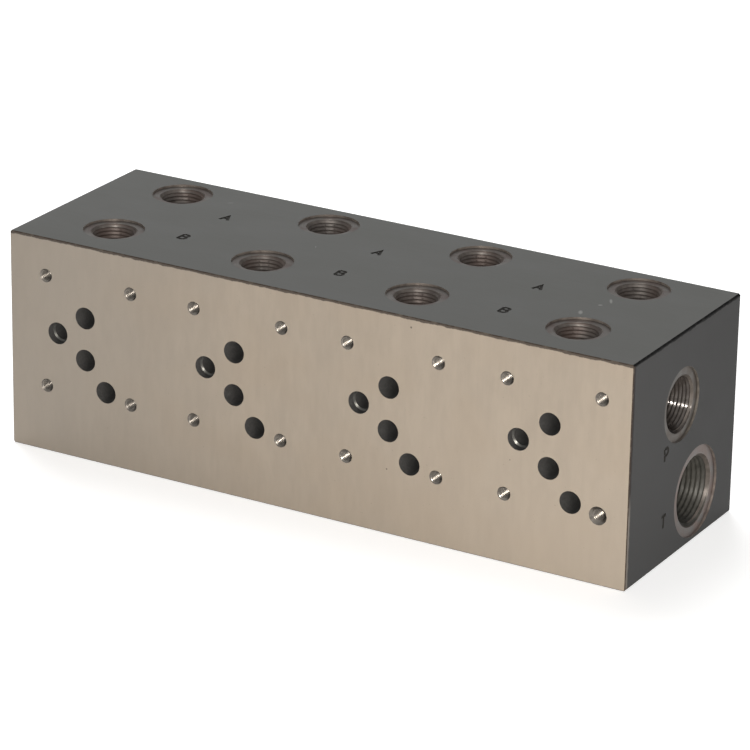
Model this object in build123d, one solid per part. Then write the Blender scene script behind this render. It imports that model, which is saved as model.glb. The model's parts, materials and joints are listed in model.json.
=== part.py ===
"""A four-station hydraulic manifold bar for size 05 (ISO 4401-05, CETOP 5, NG10) directional valves.

The bar is one piece of steel. Every passage in it is drilled from outside:

- valve face (-Y): four valve patterns in a row, each with oil holes P, A, B and T and four M6 bolt holes
- top face (+Z): the G1/2 service ports, row A at the back and row B in front, one pair to a station
- end faces (-X and +X): the G3/4 pressure port and the G1 tank port, at both ends of two galleries
- back face (+Y): four M8 mounting holes

The P holes break into the pressure gallery and the T holes into the tank gallery. Each A and each B hole
meets the riser under its own service port. No drilling needs a construction plug.

Millimetres. X runs along the bar, +Y away from the valves, +Z up. The origin is the centre of the base.
"""

from build123d import *
import math
import os

# ---- the bar
LENGTH = 320.0
DEPTH = 105.0
HEIGHT = 105.0
EDGE_CHAMFER = 0.7
GRINDING_ALLOWANCE = 0.3        # ground off the valve face last, which thins the chamfer round it

# ---- the valve patterns
STATIONS = 4
STATION_PITCH = 80.0
FIRST_BOLTS_X = 19.5            # from the left end to the first column of bolts
LOW_BOLTS_Z = 32.5              # from the base to the lower row of bolts
PATTERN_WIDTH = 46.0            # between the bolts, along X
PATTERN_HEIGHT = 54.0           # between the bolts, along Z
P_HOLE = (6.3, 27.0)            # oil holes, from the lower left bolt: along X, then up
A_HOLE = (21.4, 16.7)
B_HOLE = (21.4, 37.3)
T_HOLE = (32.5, 3.2)
OIL_HOLE_RADIUS = 5.25
P_POCKET_DEPTH = 4.0            # the P hole narrows below this
P_INNER_RADIUS = 4.4

# ---- tapped holes for screws: tap drill radius, mouth radius, tap drill depth
M6_DRILL_RADIUS = 2.5
M6_MOUTH_RADIUS = 3.25
M6_DRILL_DEPTH = 18.0
WIDE_MOUTH_RADIUS = 4.3         # the last station's lower right hole is countersunk deeper
M8_DRILL_RADIUS = 3.4
M8_MOUTH_RADIUS = 4.25
M8_DRILL_DEPTH = 16.0
MOUNTING_INSET = 14.0           # mounting holes, from the edges of the back face

# ---- service ports and the risers under them
SERVICE_PORT_X = 20.0           # from a station's left bolts
ROW_A_Y = 85.0                  # from the valve face
ROW_B_Y = 26.5
SERVICE_DRILL_RADIUS = 9.32     # G1/2
SERVICE_MOUTH_RADIUS = 10.7
SERVICE_DRILL_DEPTH = 18.5
SERVICE_SPOTFACE_RADIUS = 14.3
RISER_RADIUS = 7.0

# ---- end ports and their galleries
PRESSURE_Y = 49.0               # from the valve face
PRESSURE_Z = 70.7
PRESSURE_DRILL_RADIUS = 12.06   # G3/4
PRESSURE_MOUTH_RADIUS = 13.4
PRESSURE_DRILL_DEPTH = 19.5
PRESSURE_SPOTFACE_RADIUS = 17.2
PRESSURE_GALLERY_RADIUS = 11.0
TANK_Y = 67.0
TANK_Z = 23.4
TANK_DRILL_RADIUS = 15.15       # G1
TANK_MOUTH_RADIUS = 16.9
TANK_DRILL_DEPTH = 22.0
TANK_SPOTFACE_RADIUS = 21.3
TANK_GALLERY_RADIUS = 14.0

SPOTFACE_DEPTH = 1.0
DRILL_POINT_HALF_ANGLE = 59.0   # degrees, of a 118 degree twist drill
OVERSHOOT = 1.0                 # how far each cut starts outside the bar

LEFT = -LENGTH / 2
RIGHT = LENGTH / 2
VALVE_FACE = -DEPTH / 2
BACK = DEPTH / 2


def point_height(radius):
    """How far a drill of this radius reaches past its full diameter."""
    return radius / math.tan(math.radians(DRILL_POINT_HALF_ANGLE))


def turned(profile, mouth, outward):
    """A solid of revolution on a hole's axis. profile lists (radius, depth) from the mouth to the axis."""
    outline = [(0, -OVERSHOOT), (profile[0][0], -OVERSHOOT)] + profile
    section = make_face(Polyline([(radius, 0, -depth) for radius, depth in outline], close=True))
    return Plane(origin=mouth, z_dir=outward) * revolve(section, Axis.Z)


def drilled(radius, depth, mouth, outward):
    """A blind hole with a drill point. depth is to the full diameter's end."""
    profile = [(radius, 0), (radius, depth), (0, depth + point_height(radius))]
    return turned(profile, mouth, outward)


def tapped_hole(drill_radius, mouth_radius, drill_depth, mouth, outward):
    """A blind tapped hole for a screw, at its tap drill size, with a 45 degree countersink."""
    profile = [
        (mouth_radius, 0),
        (drill_radius, mouth_radius - drill_radius),
        (drill_radius, drill_depth),
        (0, drill_depth),
    ]
    return turned(profile, mouth, outward)


def port(spotface_radius, mouth_radius, drill_radius, drill_depth, mouth, outward):
    """A threaded port at its tap drill size: spotface, chamfered mouth, and a flat end for the passage below."""
    sink = mouth_radius - drill_radius
    profile = [
        (spotface_radius, 0),
        (spotface_radius, SPOTFACE_DEPTH),
        (mouth_radius, SPOTFACE_DEPTH),
        (drill_radius, SPOTFACE_DEPTH + sink),
        (drill_radius, drill_depth),
        (0, drill_depth),
    ]
    return turned(profile, mouth, outward)


def on_valve_face(station, place):
    """The point on the valve face at (along X, up) from a station's lower left bolt."""
    along, up = place
    left_bolts = LEFT + FIRST_BOLTS_X + station * STATION_PITCH
    return (left_bolts + along, VALVE_FACE, LOW_BOLTS_Z + up)


def bar():
    """The chamfered bar, with its valve face ground."""
    rough_depth = DEPTH + GRINDING_ALLOWANCE
    rough = Pos(0, -GRINDING_ALLOWANCE / 2, 0) * Box(
        LENGTH, rough_depth, HEIGHT, align=(Align.CENTER, Align.CENTER, Align.MIN)
    )
    rough = chamfer(rough.edges(), EDGE_CHAMFER)
    return split(rough, Plane((0, VALVE_FACE, 0), z_dir=(0, 1, 0)), keep=Keep.TOP)


def galleries():
    """The pressure and tank galleries, from end to end, with a port at each end."""
    pressure = (VALVE_FACE + PRESSURE_Y, PRESSURE_Z)
    tank = (VALVE_FACE + TANK_Y, TANK_Z)
    cuts = []
    for (y, z), radius in ((pressure, PRESSURE_GALLERY_RADIUS), (tank, TANK_GALLERY_RADIUS)):
        cuts.append(Pos(0, y, z) * Rot(0, 90, 0) * Cylinder(radius, LENGTH - 2 * SPOTFACE_DEPTH))
    for end, outward in ((LEFT, (-1, 0, 0)), (RIGHT, (1, 0, 0))):
        cuts.append(
            port(
                PRESSURE_SPOTFACE_RADIUS,
                PRESSURE_MOUTH_RADIUS,
                PRESSURE_DRILL_RADIUS,
                PRESSURE_DRILL_DEPTH,
                (end, *pressure),
                outward,
            )
        )
        cuts.append(
            port(
                TANK_SPOTFACE_RADIUS,
                TANK_MOUTH_RADIUS,
                TANK_DRILL_RADIUS,
                TANK_DRILL_DEPTH,
                (end, *tank),
                outward,
            )
        )
    return cuts


def service_line(station, oil_hole, row_y):
    """One service port, the riser under it, and the oil hole that meets the riser."""
    x, _, oil_z = on_valve_face(station, oil_hole)
    port_x = on_valve_face(station, (SERVICE_PORT_X, 0))[0]
    top = (port_x, VALVE_FACE + row_y, HEIGHT)
    return [
        port(
            SERVICE_SPOTFACE_RADIUS,
            SERVICE_MOUTH_RADIUS,
            SERVICE_DRILL_RADIUS,
            SERVICE_DRILL_DEPTH,
            top,
            (0, 0, 1),
        ),
        drilled(RISER_RADIUS, HEIGHT - oil_z, top, (0, 0, 1)),
        drilled(OIL_HOLE_RADIUS, row_y, (x, VALVE_FACE, oil_z), (0, -1, 0)),
    ]


def pressure_hole(station):
    """The stepped P hole, down to the pressure gallery's axis."""
    step_end = P_POCKET_DEPTH + point_height(OIL_HOLE_RADIUS) - point_height(P_INNER_RADIUS)
    profile = [
        (OIL_HOLE_RADIUS, 0),
        (OIL_HOLE_RADIUS, P_POCKET_DEPTH),
        (P_INNER_RADIUS, step_end),
        (P_INNER_RADIUS, PRESSURE_Y),
        (0, PRESSURE_Y + point_height(P_INNER_RADIUS)),
    ]
    return turned(profile, on_valve_face(station, P_HOLE), (0, -1, 0))


def valve_bolt_holes(station):
    """The four M6 holes of a station. One hole on the bar has a wide countersink."""
    cuts = []
    for along in (0, PATTERN_WIDTH):
        for up in (0, PATTERN_HEIGHT):
            wide = station == STATIONS - 1 and along > 0 and up == 0
            cuts.append(
                tapped_hole(
                    M6_DRILL_RADIUS,
                    WIDE_MOUTH_RADIUS if wide else M6_MOUTH_RADIUS,
                    M6_DRILL_DEPTH,
                    on_valve_face(station, (along, up)),
                    (0, -1, 0),
                )
            )
    return cuts


def mounting_holes():
    """Four M8 holes at the corners of the back face."""
    return [
        tapped_hole(M8_DRILL_RADIUS, M8_MOUTH_RADIUS, M8_DRILL_DEPTH, (x, BACK, z), (0, 1, 0))
        for x in (LEFT + MOUNTING_INSET, RIGHT - MOUNTING_INSET)
        for z in (MOUNTING_INSET, HEIGHT - MOUNTING_INSET)
    ]


def manifold_block():
    cuts = galleries() + mounting_holes()
    for station in range(STATIONS):
        cuts += service_line(station, A_HOLE, ROW_A_Y)
        cuts += service_line(station, B_HOLE, ROW_B_Y)
        cuts.append(pressure_hole(station))
        cuts.append(drilled(OIL_HOLE_RADIUS, TANK_Y, on_valve_face(station, T_HOLE), (0, -1, 0)))
        cuts += valve_bolt_holes(station)
    return bar() - cuts


os.makedirs("parts", exist_ok=True)
block = manifold_block()
block.label = "manifold_block"
export_step(block, "parts/manifold_block.step")
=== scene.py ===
"""The looks of a four-station hydraulic manifold bar.

The bar is one steel piece, so it stays one mesh. It starts as the CAD solid. The threads and the
letters stamped beside the ports are cut into it here, and each face takes the finish that its
operation left: ground, blacked, spotfaced, threaded, countersunk, drilled or stamped. Some
finishes also carry painted shade, painted shadow and a painted highlight.

The frame is the CAD model's: X along the bar, -Y out of the valve face, +Z up, from the centre of
the base. Objects are in metres. The holes, letters and finishes are worked out in millimetres.
"""

import json
import math

import bmesh
import bpy
import numpy as np
from mathutils import Matrix, Quaternion, Vector

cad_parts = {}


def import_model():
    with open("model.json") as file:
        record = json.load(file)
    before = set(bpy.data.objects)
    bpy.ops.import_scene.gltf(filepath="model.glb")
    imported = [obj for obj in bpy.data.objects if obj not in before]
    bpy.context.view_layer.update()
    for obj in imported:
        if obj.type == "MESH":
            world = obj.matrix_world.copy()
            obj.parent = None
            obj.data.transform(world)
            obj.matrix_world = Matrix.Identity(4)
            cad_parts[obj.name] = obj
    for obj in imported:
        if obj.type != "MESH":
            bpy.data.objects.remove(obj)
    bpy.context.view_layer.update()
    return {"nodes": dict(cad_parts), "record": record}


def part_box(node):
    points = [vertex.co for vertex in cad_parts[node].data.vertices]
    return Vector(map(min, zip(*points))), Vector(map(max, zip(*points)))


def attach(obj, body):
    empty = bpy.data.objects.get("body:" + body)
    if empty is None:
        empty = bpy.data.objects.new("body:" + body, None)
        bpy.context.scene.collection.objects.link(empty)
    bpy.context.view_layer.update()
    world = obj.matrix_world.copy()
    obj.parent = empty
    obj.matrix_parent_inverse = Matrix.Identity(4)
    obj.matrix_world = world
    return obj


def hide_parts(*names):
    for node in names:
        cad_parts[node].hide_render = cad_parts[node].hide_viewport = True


MM = 0.001
X, Y, Z = 0, 1, 2
MERGE_WITHIN = 1e-7             # m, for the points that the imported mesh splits

# ---- the camera: place (mm), direction (degrees), lens and sensor (mm), clipping (m)
CAMERA_AT = (879.2, -1532.6, 741.2)
CAMERA_AZIMUTH = 29.732
CAMERA_ELEVATION = 21.370
CAMERA_ROLL = 0.986
CAMERA_LENS = 199.94
CAMERA_SENSOR = 36.0
CAMERA_CLIP = (0.05, 20)

# ---- thread forms: major radius and pitch (mm), flank angle (degrees), points round a turn
THREADS = {
    "G1/2": {"major": 10.478, "pitch": 1.814, "flank": 27.5, "segments": 56},
    "G3/4": {"major": 13.221, "pitch": 1.814, "flank": 27.5, "segments": 64},
    "G1": {"major": 16.625, "pitch": 2.309, "flank": 27.5, "segments": 72},
    "M6": {"major": 3.0, "pitch": 1.0, "flank": 30.0, "segments": 20},
    "M8": {"major": 4.0, "pitch": 1.25, "flank": 30.0, "segments": 24},
}
ROOT_FLAT = 0.16                # of the pitch
RUNOUT_TURNS = 1.2              # the last turns fade into the bore
UNDER_BORE = 0.06               # mm that a tap's core stays inside the bore
FLANK_SHADE = 0.38              # how much of a pipe thread's own flank shows in its shading

# ---- the holes: thread, then its depth, the drill's depth and the spotface's radius (mm)
# bore, seat, wall and mouth name the finishes of the thread, the spotface, its wall and the
# countersink.
SERVICE = {
    "thread": "G1/2", "thread_depth": 16.6, "drill_depth": 18.5, "spotface": 14.3,
    "bore": "top_thread", "seat": "top_spotface", "wall": "top_shoulder",
    "mouth": "top_countersink",
}
PRESSURE = {
    "thread": "G3/4", "thread_depth": 17.6, "drill_depth": 19.5, "spotface": 17.2,
    "bore": "pressure_thread", "seat": "pressure_spotface", "wall": "pressure_shoulder",
    "mouth": "countersink",
}
TANK = {
    "thread": "G1", "thread_depth": 19.8, "drill_depth": 22.0, "spotface": 21.3,
    "bore": "tank_thread", "seat": "tank_spotface", "wall": "tank_shoulder",
    "mouth": "countersink",
}
VALVE_SCREW = {
    "thread": "M6", "thread_depth": 13.0, "drill_depth": 18.0, "spotface": 0,
    "bore": "screw_thread",
}
MOUNTING_SCREW = {
    "thread": "M8", "thread_depth": 13.0, "drill_depth": 16.0, "spotface": 0,
    "bore": "screw_thread",
}
SPOTFACE_DEPTH = 1.0
LEDGE_DEPTHS = (3, 8)           # a P hole narrows between these depths

# ---- telling faces apart: distances (mm) and how far a face leans (1 faces along the axis)
ON_BOX = 0.02                   # a face this near the bar's box lies on it
SLACK = 0.005                   # on each side of a depth where two kinds of face meet
CHAMFER_REACH = 1.2             # a chamfer's faces are this near two sides of the box
LETTER_SLACK = 0.05             # below a letter's floor
THREAD_REACH = 2                # outside a thread's major radius
SPOTFACE_REACH = 0.2            # outside a spotface
SPOTFACE_SLACK = 0.1            # above and below a spotface, for the points that carry its rings
COUNTERSINK_REACH = 1.5         # below the spotface
COUNTERSINK_LEAN = (0.6, 0.8)
WALL_LEAN = 0.1
LEDGE_LEAN = 0.4
LEDGE_INSIDE = 2                # from the box
CHAMFER_LEAN = 0.3
FLAT_LEAN = 0.9
SHARP_ANGLE = 28                # degrees between faces that meet in a crease

# ---- stamped letters (mm)
LETTER_HEIGHT = 5.8
LETTER_STROKE = 0.9             # half a stroke's width at the surface
LETTER_FLOOR = 0.35             # a stroke's width at the floor, as a share of that at the surface
LETTER_DEPTH = 0.45
LETTER_OVERSHOOT = 0.1
MITRE_LIMIT = 0.4               # the least cosine of half a turn
# On top: letter, station, along from the station's left bolts, back from the valve face, degrees
TOP_LETTERS = (
    ("A", 1, 55.1, 67.4, 4), ("A", 2, 58.3, 64.2, -3), ("A", 3, 61.3, 63.2, 2),
    ("B", 1, 52.8, 34.8, -5), ("B", 2, 57.8, 31.6, 3), ("B", 3, 62.2, 29.6, -2),
)
# On each end: letter, back from the valve face, up from the base, degrees
END_LETTERS = (("P", 35.6, 52.0, 3), ("T", 35.4, 20.0, -2))

# ---- marks on the faces (mm)
GROUND_TOP_LINE_WIDTH = 1.1
END_TOP_LINE_WIDTH = 1.2
END_FRONT_LINE_WIDTH = 1.5
END_HIGHLIGHT_HEIGHT = 34            # below here the front line is painted pale: a painted highlight
# Pits in the valve face: place along X and Z, and radius
PITS = ((51.6, 100.2, 0.6), (40.6, 31.0, 0.5), (102.0, 49.0, 0.35))
# Rubs on the top: place along X and Y, half length, half width, and turn in degrees
RUBS = (
    (111.0, -7.5, 3.0, 1.2, 115), (116.0, 12.0, 3.4, 0.8, 118), (114.2, 5.2, 1.3, 0.9, 30),
    (-95.0, 34.0, 2.0, 0.3, 35), (40.0, -38.0, 1.6, 0.35, 10), (-30.0, 3.0, 1.2, 0.3, 120),
)
RUB_REACH = 5                   # a rub fades out this far from the top face

# ---- colours, linear
GROUND_DARK = (0.250, 0.213, 0.172)
GROUND_LIGHT = (0.300, 0.254, 0.203)
GROUND_CLOUD = (0.27, 0.218, 0.163)
GROUND_LEFT = (0.225, 0.205, 0.180)
# painted light: paler low on the right of the valve face
GROUND_LOW_RIGHT_PAINTED_LIGHT = (0.355, 0.302, 0.245)
GROUND_SPECK = (0.20, 0.165, 0.13)
GROUND_PIT = (0.05, 0.038, 0.03)
# oxide, and painted shadow under the valve face's top edge
GROUND_TOP_LINE_OXIDE_AND_SHADOW = (0.034, 0.024, 0.017)
BLACKED_DARK = (0.067, 0.0675, 0.0645)
BLACKED_LIGHT = (0.084, 0.085, 0.0805)
BLACKED_SPECK = (0.28, 0.26, 0.24)
BLACKED_RUB = (0.40, 0.40, 0.38)
# the ends' blacked steel, painted darker than the top's: painted shade
END_PAINTED_SHADE_DARK = (0.0418, 0.0426, 0.0437)
END_PAINTED_SHADE_LIGHT = (0.0522, 0.0530, 0.0542)
# oxide, and painted shadow under the burr of each end's top edge
END_TOP_LINE_OXIDE_AND_SHADOW = (0.005, 0.005, 0.005)
END_FRONT_LINE = (0.022, 0.017, 0.016)
# a painted highlight low down the front edge of each end
END_FRONT_PAINTED_HIGHLIGHT = (0.20, 0.185, 0.17)
DRILLED_DARK = (0.066, 0.065, 0.064)
DRILLED_LIGHT = (0.102, 0.100, 0.098)
STAMPED_DARK = (0.006, 0.006, 0.005)
STAMPED_LIGHT = (0.022, 0.020, 0.018)

# Chamfers: oxide, bare steel, how much of it shows, and specular level
EDGES = {
    # black_edge's near black is oxide, and along the ends' top edges also painted shadow of a burr
    "black_edge": ((0.005, 0.005, 0.005), (0.07, 0.068, 0.065), 0.15, 0.02),
    "brown_edge": ((0.030, 0.022, 0.017), (0.22, 0.19, 0.155), 0.28, 0.15),
}
# Spotfaces: radius (mm), dark, light, and the brown of their patches
SPOTFACES = {
    "top_spotface": (
        SERVICE["spotface"], (0.051, 0.046, 0.041), (0.086, 0.078, 0.070), (0.066, 0.048, 0.042),
    ),
    "pressure_spotface": (
        PRESSURE["spotface"], (0.056, 0.051, 0.046), (0.090, 0.083, 0.075), (0.066, 0.053, 0.043),
    ),
    "tank_spotface": (
        TANK["spotface"], (0.084, 0.077, 0.073), (0.132, 0.122, 0.116), (0.134, 0.100, 0.088),
    ),
}
# Cut metal in the holes: dark, light, roughness, metallic, specular level, and the rust, if any
CUT_METAL = {
    "top_thread": (
        (0.064, 0.053, 0.047), (0.112, 0.097, 0.087), 0.54, 0.3, 0.5, (0.104, 0.074, 0.062),
    ),
    "pressure_thread": ((0.040, 0.034, 0.031), (0.064, 0.056, 0.051), 0.17, 0.3, 0.35),
    "tank_thread": ((0.036, 0.035, 0.031), (0.058, 0.056, 0.050), 0.45, 0.2, 0.25),
    "screw_thread": ((0.115, 0.104, 0.091), (0.18, 0.163, 0.143), 0.28, 0.9, 0.5),
    "pressure_shoulder": ((0.074, 0.065, 0.057), (0.135, 0.119, 0.104), 0.5, 0.3, 0.5),
    "tank_shoulder": ((0.115, 0.095, 0.085), (0.215, 0.180, 0.162), 0.45, 0.5, 0.5),
    "top_shoulder": ((0.145, 0.120, 0.104), (0.270, 0.235, 0.205), 0.5, 0.5, 0.5),
    "countersink": ((0.070, 0.060, 0.052), (0.118, 0.101, 0.089), 0.5, 0.4, 0.5),
    "top_countersink": ((0.090, 0.076, 0.067), (0.150, 0.130, 0.115), 0.5, 0.3, 0.5),
    "ledge": ((0.042, 0.042, 0.038), (0.072, 0.070, 0.064), 0.34, 0.9, 0.5),
}
RIM_PALER = 1.7                 # how many times paler than its light rings a spotface's rim is
NOISE_LOW, NOISE_HIGH = 0.3, 0.7    # nearly all of a noise's values lie between these

# ---- light and stage
FLASH_COLOUR = (1, 0.96, 0.91)
SOFTBOX_COLOUR = (1, 0.95, 0.88)
SKY_LIGHT = 0.21                # the sky's strength as a light
SKY_SEEN = 1.0                  # and where it is seen or mirrored
FLOOR_GREY = 0.62
FLOOR_GLOW = 0.62               # what the floor gives off where it is seen, to show white
FLOOR_HALF_WIDTH = 3            # m


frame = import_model()
LOW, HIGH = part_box("manifold_block")
MOUNTS = {m["name"]: m for m in frame["record"]["mounts"]}


# ------------------------------------------------------------------ holes

def holes():
    """Every threaded hole: kind, mouth (m), outward axis, bore radius (mm), from the mounts."""
    found = []
    for name, mount in MOUNTS.items():
        axis = Vector(mount["axis"])
        place = Vector(mount["pos_m"])
        surface = HIGH if sum(axis) > 0 else LOW
        mouth = Vector(s if abs(a) > 0.5 else p for s, a, p in zip(surface, axis, place))
        if mount["kind"] == "threaded_hole":
            kind = {"a": SERVICE, "b": SERVICE, "p": PRESSURE, "t": TANK}[name.split("_")[1][0]]
            found.append((kind, mouth, axis, mount["dims"]["r_mm"]))
        elif mount["kind"] == "bolt_pattern":
            kind = VALVE_SCREW if axis.y < 0 else MOUNTING_SCREW
            half_x = mount["dims"]["spacing_x_mm"] * MM / 2
            half_z = mount["dims"]["spacing_y_mm"] * MM / 2
            for x in (-half_x, half_x):
                for z in (-half_z, half_z):
                    corner = mouth + Vector((x, 0, z))
                    found.append((kind, corner, axis, mount["dims"]["hole_r_mm"]))
    return found


def seat_depth(kind):
    """How deep a hole's spotface is, in mm."""
    return SPOTFACE_DEPTH if kind["spotface"] else 0


def tap(thread, bore_radius, end):
    """A cutter like a tap, in mm, with depth along -Z: a ridge winds round a core inside the bore.

    Rows of points follow the helix, four to a turn: up one flank, along the thread's root and down
    the other flank. A row's last point is the first point of the row four further on.
    """
    form = THREADS[thread]
    pitch, segments, major = form["pitch"], form["segments"], form["major"]
    core = bore_radius - UNDER_BORE
    root = ROOT_FLAT * pitch / 2
    flank = (major - core) * math.tan(math.radians(form["flank"]))
    profile = [(-root - flank, core), (-root, major), (root, major), (root + flank, core)]
    start = -pitch
    turns = int((end - start) / pitch) - 1
    bm = bmesh.new()

    def point(row, i):
        turn, step = divmod(row, 4)
        offset, radius = profile[step]
        angle = 2 * math.pi * i / segments
        depth = start + (turn + i / segments) * pitch + offset
        fade = min(max((end - depth) / (RUNOUT_TURNS * pitch), 0), 1)
        r = core + (radius - core) * fade
        return bm.verts.new((r * math.cos(angle), -r * math.sin(angle), -depth))

    rows = [[point(row, i) for i in range(segments)] for row in range(4 * turns)]
    tails = [point(4 * turns + step, 0) for step in range(4)]
    for row, next_turn in enumerate([r[0] for r in rows[4:]] + tails):
        rows[row].append(next_turn)
    for upper, lower in zip(rows, rows[1:]):
        for i in range(segments):
            bm.faces.new((upper[i], upper[i + 1], lower[i + 1], lower[i]))
    first = rows[0][:-1] + [rows[step][0] for step in (4, 3, 2, 1)]
    last = rows[-1][:-1] + tails[::-1]
    for loop, depth in ((first, start - pitch), (last, end)):
        centre = bm.verts.new((0, 0, -depth))
        for a, b in zip(loop, loop[1:] + loop[:1]):
            bm.faces.new((a, b, centre))
    bmesh.ops.recalc_face_normals(bm, faces=bm.faces)
    return bm


# ------------------------------------------------------------------ letters

def arc(centre, radii, start, end, steps=7):
    """Points on an ellipse, from one angle to another, in degrees."""
    angles = [math.radians(start + (end - start) * i / steps) for i in range(steps + 1)]
    (x, y), (wide, high) = centre, radii
    return [(x + wide * math.cos(a), y + high * math.sin(a)) for a in angles]


# Each letter's strokes. They stand on 0, are 1 high, and lie evenly about 0 across.
STROKES = {
    "A": [[(-0.36, 0), (0, 1), (0.36, 0)], [(-0.22, 0.36), (0.22, 0.36)]],
    "B": [
        [(-0.3, 0), (-0.3, 1)],
        [(-0.3, 0)] + arc((0, 0.27), (0.3, 0.27), -90, 90) + [(-0.3, 0.54)],
        [(-0.3, 0.54)] + arc((0, 0.77), (0.26, 0.23), -90, 90) + [(-0.3, 1)],
    ],
    "P": [
        [(-0.3, 0), (-0.3, 1)],
        [(-0.3, 0.45)] + arc((0, 0.725), (0.3, 0.275), -90, 90) + [(-0.3, 1)],
    ],
    "T": [[(0, 0), (0, 1)], [(-0.36, 1), (0.36, 1)]],
}


def groove(points):
    """A cutter for one stroke, in mm: a ribbon with mitred corners that narrows downwards."""
    points = [Vector(p) for p in points]
    ends = [points[0] * 2 - points[1]] + points + [points[-1] * 2 - points[-2]]
    bm = bmesh.new()
    sections = []
    for before, here, after in zip(ends, ends[1:], ends[2:]):
        into = (here - before).normalized()
        out = (after - here).normalized()
        side = Vector((-into.y - out.y, into.x + out.x)).normalized()
        mitre = 1 / max(side.dot(Vector((-into.y, into.x))), MITRE_LIMIT)
        section = []
        surface = (LETTER_STROKE, LETTER_OVERSHOOT, (-1, 1))
        bottom = (LETTER_STROKE * LETTER_FLOOR, -LETTER_DEPTH, (1, -1))
        for half, z, signs in (surface, bottom):
            for sign in signs:
                p = here + side * (sign * half * mitre)
                section.append(bm.verts.new((p.x, p.y, z)))
        sections.append(section)
    for a, b in zip(sections, sections[1:]):
        for i in range(4):
            j = (i + 1) % 4
            bm.faces.new((a[i], a[j], b[j], b[i]))
    bm.faces.new(sections[0])
    bm.faces.new(sections[-1])
    bmesh.ops.recalc_face_normals(bm, faces=bm.faces)
    return bm


def turned(degrees, axis):
    """A turn about an axis, as a matrix."""
    return Matrix.Rotation(math.radians(degrees), 4, axis)


def letters():
    """(letter, the matrix that puts it on the bar). Struck by hand, so no two sit quite alike."""
    placed = []
    for letter, station, along, back, tilt in TOP_LETTERS:
        pattern = MOUNTS[f"valve_bolts_{station}"]
        left_bolts = pattern["pos_m"][0] - pattern["dims"]["spacing_x_mm"] * MM / 2
        middle = Vector((left_bolts + along * MM, LOW.y + back * MM, HIGH.z))
        placed.append((letter, Matrix.Translation(middle) @ turned(tilt, "Z")))
    for side in (1, -1):
        end = HIGH.x if side > 0 else LOW.x
        upright = turned(90 * side, "Z") @ turned(90, "X")
        for letter, back, up, tilt in END_LETTERS:
            middle = Vector((end, LOW.y + back * MM, LOW.z + up * MM))
            placed.append((letter, Matrix.Translation(middle) @ upright @ turned(tilt, "Z")))
    return placed


# ------------------------------------------------------------------ the bar's mesh

def link(name, data):
    """A new object in the scene."""
    made = bpy.data.objects.new(name, data)
    bpy.context.scene.collection.objects.link(made)
    return made


def joined(parts):
    """One mesh from (bmesh in mm, matrix) pairs."""
    whole = bmesh.new()
    for part, matrix in parts:
        part.transform(matrix @ Matrix.Scale(MM, 4))
        mesh = bpy.data.meshes.new("part")
        part.to_mesh(mesh)
        part.free()
        whole.from_mesh(mesh)
        bpy.data.meshes.remove(mesh)
    mesh = bpy.data.meshes.new("cutter")
    whole.to_mesh(mesh)
    whole.free()
    return mesh


def closed_copy(node_name):
    """The CAD node's mesh with its split points merged and nothing but its shape kept."""
    bm = bmesh.new()
    bm.from_mesh(frame["nodes"][node_name].data)
    bmesh.ops.remove_doubles(bm, verts=bm.verts, dist=MERGE_WITHIN)
    bm.verts.index_update()
    points = [v.co.copy() for v in bm.verts]
    faces = [[v.index for v in f.verts] for f in bm.faces]
    bm.free()
    mesh = bpy.data.meshes.new(node_name)
    mesh.from_pydata(points, [], faces)
    return mesh


def cut(piece, mesh):
    """Subtracts a closed mesh from a piece."""
    cutter = link("cutter", mesh)
    modifier = piece.modifiers.new("cut", "BOOLEAN")
    modifier.operation = "DIFFERENCE"
    modifier.solver = "MANIFOLD"
    modifier.object = cutter
    evaluated = piece.evaluated_get(bpy.context.evaluated_depsgraph_get())
    shaped = bpy.data.meshes.new_from_object(evaluated)
    piece.modifiers.clear()
    before, piece.data = piece.data, shaped
    bpy.data.meshes.remove(before)
    bpy.data.objects.remove(cutter)
    bpy.data.meshes.remove(mesh)


def bar():
    """The bar with letters and threads cut. A letter's strokes cross, so each is cut separately."""
    piece = link("manifold_bar", closed_copy("manifold_block"))
    middle = Vector((0, 0.5))
    for stroke in range(max(len(strokes) for strokes in STROKES.values())):
        grooves = []
        for letter, place in letters():
            if stroke < len(STROKES[letter]):
                points = [(Vector(p) - middle) * LETTER_HEIGHT for p in STROKES[letter][stroke]]
                grooves.append((groove(points), place))
        cut(piece, joined(grooves))
    taps = []
    for kind, mouth, axis, bore_radius in holes():
        seat = seat_depth(kind)
        entry = Matrix.Translation(mouth - axis * (seat * MM))
        place = entry @ axis.to_track_quat("Z", "Y").to_matrix().to_4x4()
        taps.append((tap(kind["thread"], bore_radius, kind["thread_depth"] - seat), place))
    cut(piece, joined(taps))
    return piece


# ------------------------------------------------------------------ shader nodes

def node(tree, kind, inputs=None, **settings):
    """A shader node. inputs maps a socket to a value or to the socket that feeds it."""
    made = tree.nodes.new("ShaderNode" + kind)
    for name, value in settings.items():
        setattr(made, name, value)
    for socket, value in (inputs or {}).items():
        if isinstance(value, bpy.types.NodeSocket):
            tree.links.new(value, made.inputs[socket])
        else:
            made.inputs[socket].default_value = value
    return made


def vector_math(tree, operation, first, second):
    """Two places, or a place and a scale, put together axis by axis."""
    return node(tree, "VectorMath", {0: first, 1: second}, operation=operation).outputs[0]


def material(name, metallic, specular=0.5):
    """A new Principled material: itself, its tree, its shader, and the place on the bar in mm."""
    made = bpy.data.materials.new(name)
    made.use_nodes = True
    tree = made.node_tree
    shader = tree.nodes["Principled BSDF"]
    shader.inputs["Metallic"].default_value = metallic
    shader.inputs["Specular IOR Level"].default_value = specular
    place = node(tree, "TexCoord").outputs["Object"]
    in_mm = vector_math(tree, "MULTIPLY", place, (1 / MM, 1 / MM, 1 / MM))
    return made, tree, shader, in_mm


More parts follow.
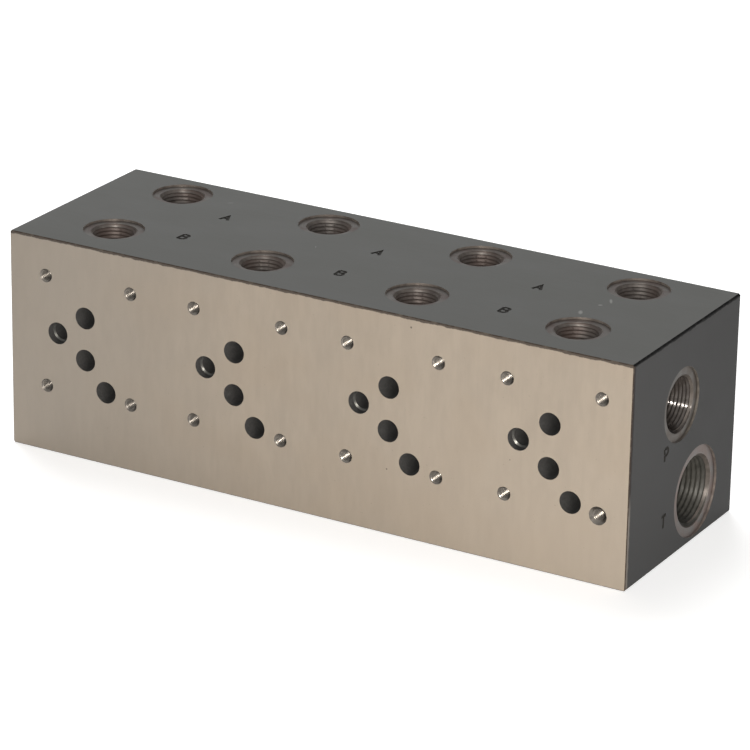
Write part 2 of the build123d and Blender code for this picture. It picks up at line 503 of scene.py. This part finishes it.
def wire(tree, shader, base, roughness, normal=None):
    """Feeds the shader its colour, its roughness and, if there is one, its bump."""
    tree.links.new(base, shader.inputs["Base Color"])
    tree.links.new(roughness, shader.inputs["Roughness"])
    if normal:
        tree.links.new(normal, shader.inputs["Normal"])


def plus(tree, first, second):
    """The sum of two values."""
    return node(tree, "Math", {0: first, 1: second}, operation="ADD").outputs[0]


def times(tree, first, second):
    """The product of two values."""
    return node(tree, "Math", {0: first, 1: second}, operation="MULTIPLY").outputs[0]


def noise(tree, mm, scale, detail=3, roughness=0.5):
    """Noise in cycles a millimetre: one number, or three along X, Y and Z to draw its grain out."""
    if not isinstance(scale, tuple):
        scale = (scale, scale, scale)
    at = vector_math(tree, "MULTIPLY", mm, scale)
    inputs = {"Vector": at, "Scale": 1, "Detail": detail, "Roughness": roughness}
    return node(tree, "TexNoise", inputs).outputs["Fac"]


def spread(tree, value, low=NOISE_LOW, high=NOISE_HIGH, to_low=0.0, to_high=1.0):
    """A value remapped from one range to another, clamped."""
    inputs = {"Value": value, "From Min": low, "From Max": high}
    inputs.update({"To Min": to_low, "To Max": to_high})
    return node(tree, "MapRange", inputs).outputs[0]


def blend(tree, factor, first, second):
    """Two colours, or sockets, mixed by a factor."""
    def colour(c):
        return c if isinstance(c, bpy.types.NodeSocket) else (*c, 1)
    inputs = {0: factor, 6: colour(first), 7: colour(second)}
    return node(tree, "Mix", inputs, data_type="RGBA").outputs[2]


def laid(tree, base, where, amount, colour):
    """A colour laid over the base, this much of it where a mask is 1."""
    return blend(tree, times(tree, where, amount), base, colour)


def patched(tree, base, value, start, full, amount, colour):
    """A colour laid over the base: none where the value is under start, and this much over full."""
    return blend(tree, spread(tree, value, start, full, 0, amount), base, colour)


def dotted(tree, base, away, solid, faded, amount, colour):
    """A colour laid over the base round a place: this much of it up to solid, and none by faded."""
    return blend(tree, spread(tree, away, solid, faded, amount, 0), base, colour)


def bump(tree, height, strength, depth, under=None):
    """A bump of this depth, in mm."""
    inputs = {"Height": height, "Strength": strength, "Distance": depth * MM}
    if under:
        inputs["Normal"] = under
    return node(tree, "Bump", inputs).outputs[0]


def uneven(tree, mm, axis):
    """The place along an axis, wandering a little, so that a line drawn by it isn't straight."""
    place = node(tree, "SeparateXYZ", {0: mm}).outputs[axis]
    wander = noise(tree, mm, 0.2, detail=4, roughness=0.7)
    return plus(tree, place, spread(tree, wander, to_low=-0.35, to_high=0.35))


def above(tree, mm, axis, line, soft):
    """1 past a line across an axis, and 0 before it, with an edge this soft outside it."""
    return spread(tree, uneven(tree, mm, axis), line - soft, line)


def below(tree, mm, axis, line, soft):
    """1 before a line across an axis, and 0 past it, with an edge this soft outside it."""
    return spread(tree, uneven(tree, mm, axis), line, line + soft, 1, 0)


# ------------------------------------------------------------------ materials

def ground_steel():
    """Surface-ground steel: the wheel's grain runs up the face, over faint clouds and a few specks.

    It is greyer towards the left end, and paler low on the right: a painted pool of light. A brown
    line runs under the top edge: oxide, and painted shadow under the edge's burr.
    """
    made, tree, shader, mm = material("ground_steel", 0.3)
    grain = noise(tree, mm, (2.2, 1, 0.035), detail=4, roughness=0.7)
    bands = noise(tree, mm, (0.09, 1, 0.012))
    clouds = noise(tree, mm, (0.022, 0.02, 0.03))
    strokes = noise(tree, mm, (0.30, 1, 0.09), detail=2)
    coarse = spread(tree, strokes, 0.35, 0.65, to_high=0.35)
    coarse = plus(tree, spread(tree, bands, to_high=0.4), coarse)
    tone = plus(tree, spread(tree, grain, to_high=0.3), coarse)
    base = blend(tree, tone, GROUND_DARK, GROUND_LIGHT)
    base = patched(tree, base, clouds, 0.45, 0.7, 0.35, GROUND_CLOUD)
    left = below(tree, mm, X, LOW.x / MM + 25, soft=110)
    base = laid(tree, base, left, 0.45, GROUND_LEFT)
    # painted light: paler low on the right, where more light falls
    painted_light_low_right = times(tree, above(tree, mm, X, 120, soft=130), below(tree, mm, Z, 10, soft=70))
    base = laid(tree, base, painted_light_low_right, 0.4, GROUND_LOW_RIGHT_PAINTED_LIGHT)
    base = patched(tree, base, noise(tree, mm, 0.9, detail=1), 0.76, 0.80, 0.5, GROUND_SPECK)
    for along, up, radius in PITS:
        offset = {0: mm, 1: (along, LOW.y / MM, up)}
        away = node(tree, "VectorMath", offset, operation="DISTANCE").outputs["Value"]
        base = dotted(tree, base, away, 0.5 * radius, radius, 0.8, GROUND_PIT)
    # oxide, and painted shadow under the top edge's burr
    oxide_and_shadow_line = above(tree, mm, Z, HIGH.z / MM - GROUND_TOP_LINE_WIDTH, soft=0.3)
    base = laid(tree, base, oxide_and_shadow_line, 0.92, GROUND_TOP_LINE_OXIDE_AND_SHADOW)
    roughness = spread(tree, grain, to_low=0.40, to_high=0.52)
    wire(tree, shader, base, roughness, bump(tree, grain, strength=0.25, depth=0.01))
    return made


def rubs(tree, mm, base):
    """The pale rubs on the top face."""
    for along, back, length, width, turn in RUBS:
        at = vector_math(tree, "SUBTRACT", mm, (along, back, HIGH.z / MM))
        inputs = {"Vector": at, "Rotation": (0, 0, math.radians(-turn))}
        at = node(tree, "VectorRotate", inputs, rotation_type="EULER_XYZ").outputs[0]
        at = vector_math(tree, "MULTIPLY", at, (1 / length, 1 / width, 1 / RUB_REACH))
        away = node(tree, "VectorMath", {0: at}, operation="LENGTH").outputs["Value"]
        base = dotted(tree, base, away, 0.4, 1.0, 0.30, BLACKED_RUB)
    return base


def end_lines(tree, mm, base):
    """A black line under an end's top edge, oxide and painted shadow under the edge's burr, and
    one down its front edge, painted pale low down as a painted highlight.
    """
    # oxide, and painted shadow under the top edge's burr
    oxide_and_shadow_line = above(tree, mm, Z, HIGH.z / MM - END_TOP_LINE_WIDTH, soft=0.3)
    base = laid(tree, base, oxide_and_shadow_line, 0.97, END_TOP_LINE_OXIDE_AND_SHADOW)
    front_line = below(tree, mm, Y, LOW.y / MM + END_FRONT_LINE_WIDTH, soft=0.8)
    base = laid(tree, base, front_line, 0.85, END_FRONT_LINE)
    # a painted highlight: the front line painted pale low down
    pale_patch = times(tree, front_line, below(tree, mm, Z, END_HIGHLIGHT_HEIGHT, soft=12))
    return laid(tree, base, pale_patch, 0.7, END_FRONT_PAINTED_HIGHLIGHT)


def blacked_steel(name, specular, dark, light, marks):
    """Milled steel, blacked: dull grey, with milling lines, smudges and bare specks.

    marks adds what else these faces show.
    """
    made, tree, shader, mm = material(name, 0.0, specular)
    clouds = noise(tree, mm, (0.03, 0.05, 0.05), detail=4)
    lines = noise(tree, mm, (0.05, 1.6, 1.6))
    tone = plus(tree, spread(tree, clouds, to_high=0.7), spread(tree, lines, to_high=0.3))
    base = blend(tree, tone, dark, light)
    base = patched(tree, base, noise(tree, mm, 0.55, detail=2), 0.80, 0.84, 0.5, BLACKED_SPECK)
    base = marks(tree, mm, base)
    roughness = spread(tree, clouds, to_low=0.46, to_high=0.6)
    milled = bump(tree, lines, strength=0.2, depth=0.02)
    fine = noise(tree, mm, 3, detail=2)
    wire(tree, shader, base, roughness, bump(tree, fine, strength=0.15, depth=0.02, under=milled))
    return made


def edge(name, dark, light, amount, specular):
    """A broken edge: oxide over the chamfer, knocked through to steel in places."""
    made, tree, shader, mm = material(name, 0.0, specular)
    knocks = noise(tree, mm, 0.25, detail=5, roughness=0.65)
    base = patched(tree, dark, knocks, 0.5, 0.66, amount, light)
    roughness = spread(tree, knocks, to_low=0.65, to_high=0.45)
    wire(tree, shader, base, roughness, bump(tree, knocks, strength=0.3, depth=0.1))
    return made


def spotface(name, radius_out, dark, light, brown):
    """A spotface as the cutter left it: rings round the port, brown patches and a paler rim."""
    made, tree, shader, mm = material(name, 0.75, 0.3)
    radius = node(tree, "Attribute", attribute_name="hole_radius").outputs["Fac"]
    inputs = {"W": radius, "Scale": 2.6, "Detail": 3}
    rings = node(tree, "TexNoise", inputs, noise_dimensions="1D").outputs["Fac"]
    patches = noise(tree, mm, 0.14)
    base = blend(tree, spread(tree, rings), dark, light)
    base = patched(tree, base, patches, 0.42, 0.62, 0.8, brown)
    rim = spread(tree, radius, radius_out - 1.5, radius_out - 0.2)
    pale_patch = times(tree, rim, spread(tree, noise(tree, mm, 0.35), 0.35, 0.6))
    base = laid(tree, base, pale_patch, 0.9, tuple(RIM_PALER * c for c in light))
    roughness = spread(tree, patches, to_low=0.36, to_high=0.5)
    wire(tree, shader, base, roughness, bump(tree, rings, strength=0.4, depth=0.03))
    return made


def cut_metal(name, dark, light, roughness, metallic, specular, rust=None):
    """Cut metal inside a hole, browned unevenly, and rustier in some holes than in others."""
    made, tree, shader, mm = material(name, metallic, specular)
    stains = noise(tree, mm, 0.3)
    base = blend(tree, spread(tree, stains, 0.35, 0.65), dark, light)
    if rust:
        base = patched(tree, base, noise(tree, mm, 0.05, detail=2), 0.4, 0.6, 0.85, rust)
    uneven_roughness = spread(tree, stains, to_low=roughness + 0.06, to_high=roughness - 0.06)
    wire(tree, shader, base, uneven_roughness)
    return made


def drilled():
    """Drilled passages, dark with oil and oxide, and scored by the drill."""
    made, tree, shader, mm = material("drilled_steel", 0.4, 0.3)
    scoring = noise(tree, mm, 0.9)
    base = blend(tree, spread(tree, scoring), DRILLED_DARK, DRILLED_LIGHT)
    roughness = spread(tree, scoring, to_low=0.5, to_high=0.65)
    wire(tree, shader, base, roughness, bump(tree, scoring, strength=0.3, depth=0.05))
    return made


def stamped():
    """The floor of a struck letter, full of dirt."""
    made, tree, shader, mm = material("stamped", 0.1, 0.2)
    dirt = noise(tree, mm, 1.2, detail=2)
    base = blend(tree, dirt, STAMPED_DARK, STAMPED_LIGHT)
    wire(tree, shader, base, spread(tree, dirt, to_low=0.6, to_high=0.8))
    return made


def finishes():
    """Every material on the bar."""
    made = [
        blacked_steel("blacked_steel", 0.12, BLACKED_DARK, BLACKED_LIGHT, rubs),
        # the same blacked steel on the ends, painted darker: painted shade
        blacked_steel("blacked_end_painted_shade", 0.04, END_PAINTED_SHADE_DARK, END_PAINTED_SHADE_LIGHT, end_lines),
        ground_steel(),
        drilled(),
        stamped(),
    ]
    made += [edge(name, *look) for name, look in EDGES.items()]
    made += [spotface(name, *look) for name, look in SPOTFACES.items()]
    made += [cut_metal(name, *look) for name, look in CUT_METAL.items()]
    return made


# ------------------------------------------------------------------ which face has which finish

def read(items, name, width, kind=np.float64):
    """A property of a mesh's faces, points or corners, as one row of numbers for each."""
    values = np.empty(len(items) * width, kind)
    items.foreach_get(name, values)
    return values.reshape(-1, width)


def depth_and_radius(places, mouth, axis):
    """How deep in a hole each place is, and how far from the hole's axis, in mm."""
    away = places - mouth
    depth = -(away @ axis)
    return depth, np.linalg.norm(away + np.outer(depth, axis), axis=1)


def finish_by_place(centre, normal, inside, number):
    """Each face's finish from where it lies on the bar. A face inside it is taken as drilled."""
    from_ends, from_top = inside[:, X], HIGH.z / MM - centre[:, Z]
    from_valves = centre[:, Y] - LOW.y / MM
    skin = inside.min(1)
    lean = np.abs(normal)
    on_edge = (np.sort(inside, 1)[:, 1] < CHAMFER_REACH) & ((lean > CHAMFER_LEAN).sum(1) > 1)
    in_letter = np.minimum(from_top, from_ends) < LETTER_DEPTH + LETTER_SLACK
    ledge = (from_valves > LEDGE_DEPTHS[0]) & (from_valves < LEDGE_DEPTHS[1])
    ledge &= (lean[:, Y] > LEDGE_LEAN) & (skin > LEDGE_INSIDE)

    index = np.full(len(centre), number["drilled_steel"])
    index[in_letter] = number["stamped"]
    index[skin < ON_BOX] = number["blacked_steel"]
    index[(from_ends < ON_BOX) & (lean[:, X] > FLAT_LEAN)] = number["blacked_end_painted_shade"]
    index[(from_valves < ON_BOX) & (normal[:, Y] < -FLAT_LEAN)] = number["ground_steel"]
    index[on_edge] = number["black_edge"]
    index[on_edge & (from_valves < CHAMFER_REACH)] = number["brown_edge"]
    index[ledge] = number["ledge"]
    return index


def parts_of_hole(kind, depth, radius, lean, off_box):
    """(which faces, finish) for each part of a hole, the thread first. A later part wins."""
    seat = seat_depth(kind)
    in_bore = (depth > seat + SLACK) & (depth < kind["drill_depth"] - SLACK)
    in_bore &= radius < THREADS[kind["thread"]]["major"] + THREAD_REACH
    parts = [(in_bore & off_box, kind["bore"])]
    if kind["spotface"]:
        in_seat = (depth > SLACK) & (depth < seat + SLACK)
        in_seat &= radius < kind["spotface"] + SPOTFACE_REACH
        countersunk = (lean > COUNTERSINK_LEAN[0]) & (lean < COUNTERSINK_LEAN[1])
        countersunk &= in_bore & (depth < seat + COUNTERSINK_REACH)
        parts.append((in_seat, kind["seat"]))
        parts.append((in_seat & (lean < WALL_LEAN), kind["wall"]))
        parts.append((countersunk, kind["mouth"]))
    return parts


def finish_faces(piece):
    """Gives each face its material. Spotface points keep their distance from the hole's axis."""
    mesh = piece.data
    mesh.materials.clear()
    for finish in finishes():
        mesh.materials.append(finish)
    number = {m.name: i for i, m in enumerate(mesh.materials)}

    centre = read(mesh.polygons, "center", 3) / MM
    normal = read(mesh.polygons, "normal", 3)
    points = read(mesh.vertices, "co", 3) / MM
    inside = np.minimum(centre - np.array(LOW) / MM, np.array(HIGH) / MM - centre)
    index = finish_by_place(centre, normal, inside, number)
    off_box = inside.min(1) > ON_BOX
    hole_radius = np.zeros(len(points))
    pipe_threads = []
    for kind, mouth, axis, _ in holes():
        mouth, axis = np.array(mouth) / MM, np.array(axis)
        depth, radius = depth_and_radius(centre, mouth, axis)
        parts = parts_of_hole(kind, depth, radius, np.abs(normal @ axis), off_box)
        for faces, finish in parts:
            index[faces] = number[finish]
        if kind["spotface"]:
            pipe_threads.append((parts[0][0], mouth, axis))
            # The distance is less the depth, so that the rings run on down the spotface's wall.
            depth, radius = depth_and_radius(points, mouth, axis)
            near = (depth > -SPOTFACE_SLACK) & (depth < SPOTFACE_DEPTH + SPOTFACE_SLACK)
            near &= radius < kind["spotface"] + SPOTFACE_REACH
            hole_radius[near] = (radius - depth)[near]

    mesh.polygons.foreach_set("material_index", index.astype(np.int32))
    mesh.attributes.new("hole_radius", "FLOAT", "POINT").data.foreach_set("value", hole_radius)
    mesh.polygons.foreach_set("use_smooth", np.ones(len(centre), bool))
    mesh.set_sharp_from_angle(angle=math.radians(SHARP_ANGLE))
    mesh.update()
    round_threads(mesh, points, pipe_threads)


def round_threads(mesh, points, pipe_threads):
    """Shades the pipe threads as if their crests and roots were round: flanks lean to the bore."""
    sizes = read(mesh.polygons, "loop_total", 1, np.int32)[:, 0]
    corner_of = read(mesh.loops, "vertex_index", 1, np.int32)[:, 0]
    shade = read(mesh.corner_normals, "vector", 3, np.float32)
    for faces, mouth, axis in pipe_threads:
        corners = np.where(np.repeat(faces, sizes))[0]
        away = points[corner_of[corners]] - mouth
        inward = np.outer(away @ axis, axis) - away
        inward /= np.linalg.norm(inward, axis=1)[:, None]
        leaning = FLANK_SHADE * shade[corners] + (1 - FLANK_SHADE) * inward
        shade[corners] = leaning / np.linalg.norm(leaning, axis=1)[:, None]
    mesh.normals_split_custom_set([tuple(n) for n in shade.tolist()])


# ------------------------------------------------------------------ camera, light and stage

def camera():
    """The camera, with a long lens and a slight roll."""
    azimuth, elevation = math.radians(CAMERA_AZIMUTH), math.radians(CAMERA_ELEVATION)
    back = Vector((
        math.sin(azimuth) * math.cos(elevation),
        -math.cos(azimuth) * math.cos(elevation),
        math.sin(elevation),
    ))
    data = bpy.data.cameras.new("camera")
    data.lens = CAMERA_LENS
    data.sensor_width = CAMERA_SENSOR
    data.clip_start, data.clip_end = CAMERA_CLIP
    made = link("camera", data)
    made.location = Vector(CAMERA_AT) * MM
    made.rotation_mode = "QUATERNION"
    roll = Quaternion((0, 0, 1), math.radians(CAMERA_ROLL))
    made.rotation_quaternion = back.to_track_quat("Z", "Y") @ roll
    bpy.context.scene.camera = made


def lamp(name, place, target, size, power, colour=(1, 1, 1), mirrored=False, lights=True):
    """A soft light, so wide and so high (m), at a place and pointed at a target.

    mirrored says that metal shows its reflection, and lights that it lights surfaces.
    """
    data = bpy.data.lights.new(name, "AREA")
    data.shape = "RECTANGLE"
    data.size, data.size_y = size
    data.energy = power
    data.color = colour
    light = link(name, data)
    light.location = place
    light.rotation_mode = "QUATERNION"
    light.rotation_quaternion = (Vector(place) - Vector(target)).to_track_quat("Z", "Y")
    light.visible_camera = False
    light.visible_glossy = mirrored
    light.visible_diffuse = lights


def lamps():
    """A flash beside the camera, a glint for the screw holes, a low softbox and a soft overhead."""
    middle = (0, 0, 0.05)
    small = (0.08, 0.08)
    lamp("flash", (0.80, -1.40, 0.70), middle, small, 10, FLASH_COLOUR, mirrored=True)
    lamp("glint", (0.45, -1.42, 0.55), middle, small, 12, FLASH_COLOUR, mirrored=True, lights=False)
    lamp("front_softbox", (0.62, -0.68, 0.03), (0.08, 0, 0.02), (0.6, 0.2), 13, SOFTBOX_COLOUR)
    lamp("overhead", (-0.6, 0.6, 1.6), middle, (1.0, 1.0), 30)


def ray_is_seen(tree):
    """1 for the rays that show or mirror a thing, 0 for those that it lights."""
    path = node(tree, "LightPath")
    total = path.outputs["Is Camera Ray"]
    for kind in ("Is Glossy Ray", "Is Transmission Ray"):
        inputs = {0: total, 1: path.outputs[kind]}
        total = node(tree, "Math", inputs, operation="MAXIMUM").outputs[0]
    return total


def world():
    """A dim even sky for light, and white where it is seen or mirrored."""
    made = bpy.data.worlds.new("world")
    bpy.context.scene.world = made
    made.use_nodes = True
    tree = made.node_tree
    background = tree.nodes["Background"]
    background.inputs["Color"].default_value = (1, 1, 1, 1)
    strength = spread(tree, ray_is_seen(tree), 0, 1, SKY_LIGHT, SKY_SEEN)
    tree.links.new(strength, background.inputs["Strength"])


def floor():
    """A pale floor that shows white except in the bar's own soft shadow."""
    bm = bmesh.new()
    bmesh.ops.create_grid(bm, x_segments=1, y_segments=1, size=FLOOR_HALF_WIDTH)
    mesh = bpy.data.meshes.new("floor")
    bm.to_mesh(mesh)
    bm.free()
    plane = link("floor", mesh)
    made = bpy.data.materials.new("floor")
    made.use_nodes = True
    tree = made.node_tree
    shader = tree.nodes["Principled BSDF"]
    shader.inputs["Base Color"].default_value = (FLOOR_GREY, FLOOR_GREY, FLOOR_GREY, 1)
    shader.inputs["Roughness"].default_value = 0.9
    shader.inputs["Specular IOR Level"].default_value = 0.0
    shader.inputs["Emission Color"].default_value = (1, 1, 1, 1)
    glow = spread(tree, ray_is_seen(tree), 0, 1, 0, FLOOR_GLOW)
    tree.links.new(glow, shader.inputs["Emission Strength"])
    mesh.materials.append(made)


piece = bar()
finish_faces(piece)
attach(piece, "root")
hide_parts("manifold_block")

camera()
world()
floor()
lamps()
bpy.context.scene.view_settings.view_transform = "Standard"
